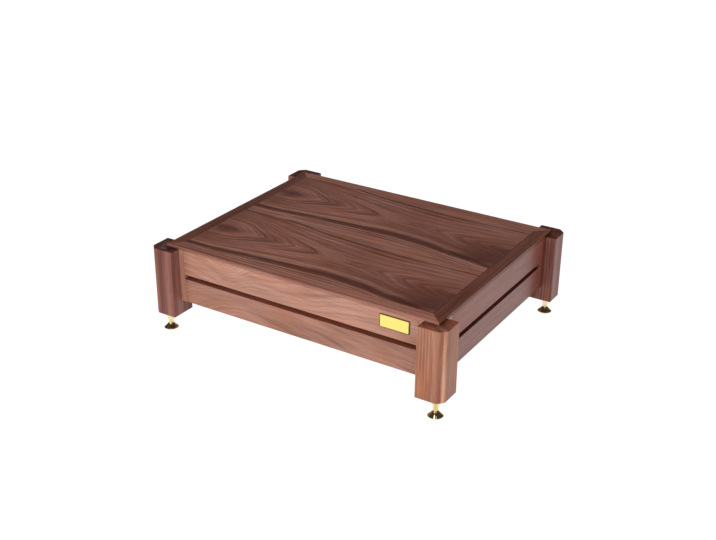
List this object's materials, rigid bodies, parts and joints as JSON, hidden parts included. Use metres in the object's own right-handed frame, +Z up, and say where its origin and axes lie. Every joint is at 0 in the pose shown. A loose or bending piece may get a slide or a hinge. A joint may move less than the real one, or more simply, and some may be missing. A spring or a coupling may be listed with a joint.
{
  "type": "amplifier stand",
  "caption": "Low walnut equipment stand: notched corner posts, slotted rail frame, mitred veneered top board, blank brass nameplate, and brass levelling spikes in loose shoes.",
  "frame": {"origin": "on the floor under the middle of the stand, at the undersides of the shoes with the feet screwed right in", "axes": "+Z up, -Y towards the front, where the nameplate is, +X to the right seen from the front"},
  "size_m": [0.6, 0.48, 0.17],
  "materials": {
    "walnut_post": "oiled walnut, satin, upright grain",
    "walnut_rail": "oiled walnut, satin, grain along the rail",
    "walnut_border": "oiled walnut, satin, grain along the strip",
    "walnut_veneer": "oiled crown-cut walnut veneer, satin",
    "backing_veneer": "plain backing veneer, matt",
    "fibreboard": "raw fibreboard, matt",
    "beech": "planed beech, unfinished",
    "brass": "turned and polished",
    "plate_brass": "brushed, lacquered, blank",
    "steel": "zinc plated",
    "adhesive_film": "foam tape"
  },
  "bodies": {
    "stand": {"post_front_left": "walnut_post", "post_front_right": "walnut_post", "post_back_right": "walnut_post", "post_back_left": "walnut_post", "stile_front_left": "walnut_rail", "stile_front_right": "walnut_rail", "stile_back_right": "walnut_rail", "stile_back_left": "walnut_rail", "upper_rail_front": "walnut_rail", "upper_rail_right": "walnut_rail", "upper_rail_back": "walnut_rail", "upper_rail_left": "walnut_rail", "lower_rail_front": "walnut_rail", "lower_rail_right": "walnut_rail", "lower_rail_back": "walnut_rail", "lower_rail_left": "walnut_rail", "border_front": "walnut_border", "border_right": "walnut_border", "border_back": "walnut_border", "border_left": "walnut_border", "panel_core": "fibreboard", "veneer_front": "walnut_veneer", "veneer_back": "walnut_veneer", "veneer_under": "backing_veneer", "cleat_front": "beech", "cleat_right": "beech", "cleat_back": "beech", "cleat_left": "beech", "batten_left": "beech", "batten_right": "beech", "dowels": "beech", "post_bolts": "steel", "bolt_washers": "steel", "cleat_screws": "steel", "panel_screws": "steel", "threaded_inserts": "brass", "nameplate": "plate_brass", "nameplate_film": "adhesive_film"},
    "shoe_front_left": {"shoe_front_left": "brass"},
    "spike_front_left": {"spike_front_left": "brass"},
    "shoe_front_right": {"shoe_front_right": "brass"},
    "spike_front_right": {"spike_front_right": "brass"},
    "shoe_back_right": {"shoe_back_right": "brass"},
    "spike_back_right": {"spike_back_right": "brass"},
    "shoe_back_left": {"shoe_back_left": "brass"},
    "spike_back_left": {"spike_back_left": "brass"}
  },
  "joints": [
    {"name": "height_front_left", "type": "slide", "parent": "stand", "child": "shoe_front_left", "axis": [0, 0, -1], "range_m": [0, 0.008]},
    {"name": "turn_front_left", "type": "hinge", "parent": "shoe_front_left", "child": "spike_front_left", "pos_m": [-0.279, -0.219, 0.02], "axis": [0, 0, -1], "range_deg": [0, 2304]},
    {"name": "height_front_right", "type": "slide", "parent": "stand", "child": "shoe_front_right", "axis": [0, 0, -1], "range_m": [0, 0.008]},
    {"name": "turn_front_right", "type": "hinge", "parent": "shoe_front_right", "child": "spike_front_right", "pos_m": [0.279, -0.219, 0.02], "axis": [0, 0, -1], "range_deg": [0, 2304]},
    {"name": "height_back_right", "type": "slide", "parent": "stand", "child": "shoe_back_right", "axis": [0, 0, -1], "range_m": [0, 0.008]},
    {"name": "turn_back_right", "type": "hinge", "parent": "shoe_back_right", "child": "spike_back_right", "pos_m": [0.279, 0.219, 0.02], "axis": [0, 0, -1], "range_deg": [0, 2304]},
    {"name": "height_back_left", "type": "slide", "parent": "stand", "child": "shoe_back_left", "axis": [0, 0, -1], "range_m": [0, 0.008]},
    {"name": "turn_back_left", "type": "hinge", "parent": "shoe_back_left", "child": "spike_back_left", "pos_m": [-0.279, 0.219, 0.02], "axis": [0, 0, -1], "range_deg": [0, 2304]}
  ],
  "couplings": [
    {"joint": "height_front_left", "follows": "turn_front_left", "m_per_rad": 0.00019894},
    {"joint": "height_front_right", "follows": "turn_front_right", "m_per_rad": 0.00019894},
    {"joint": "height_back_right", "follows": "turn_back_right", "m_per_rad": 0.00019894},
    {"joint": "height_back_left", "follows": "turn_back_left", "m_per_rad": 0.00019894}
  ]
}
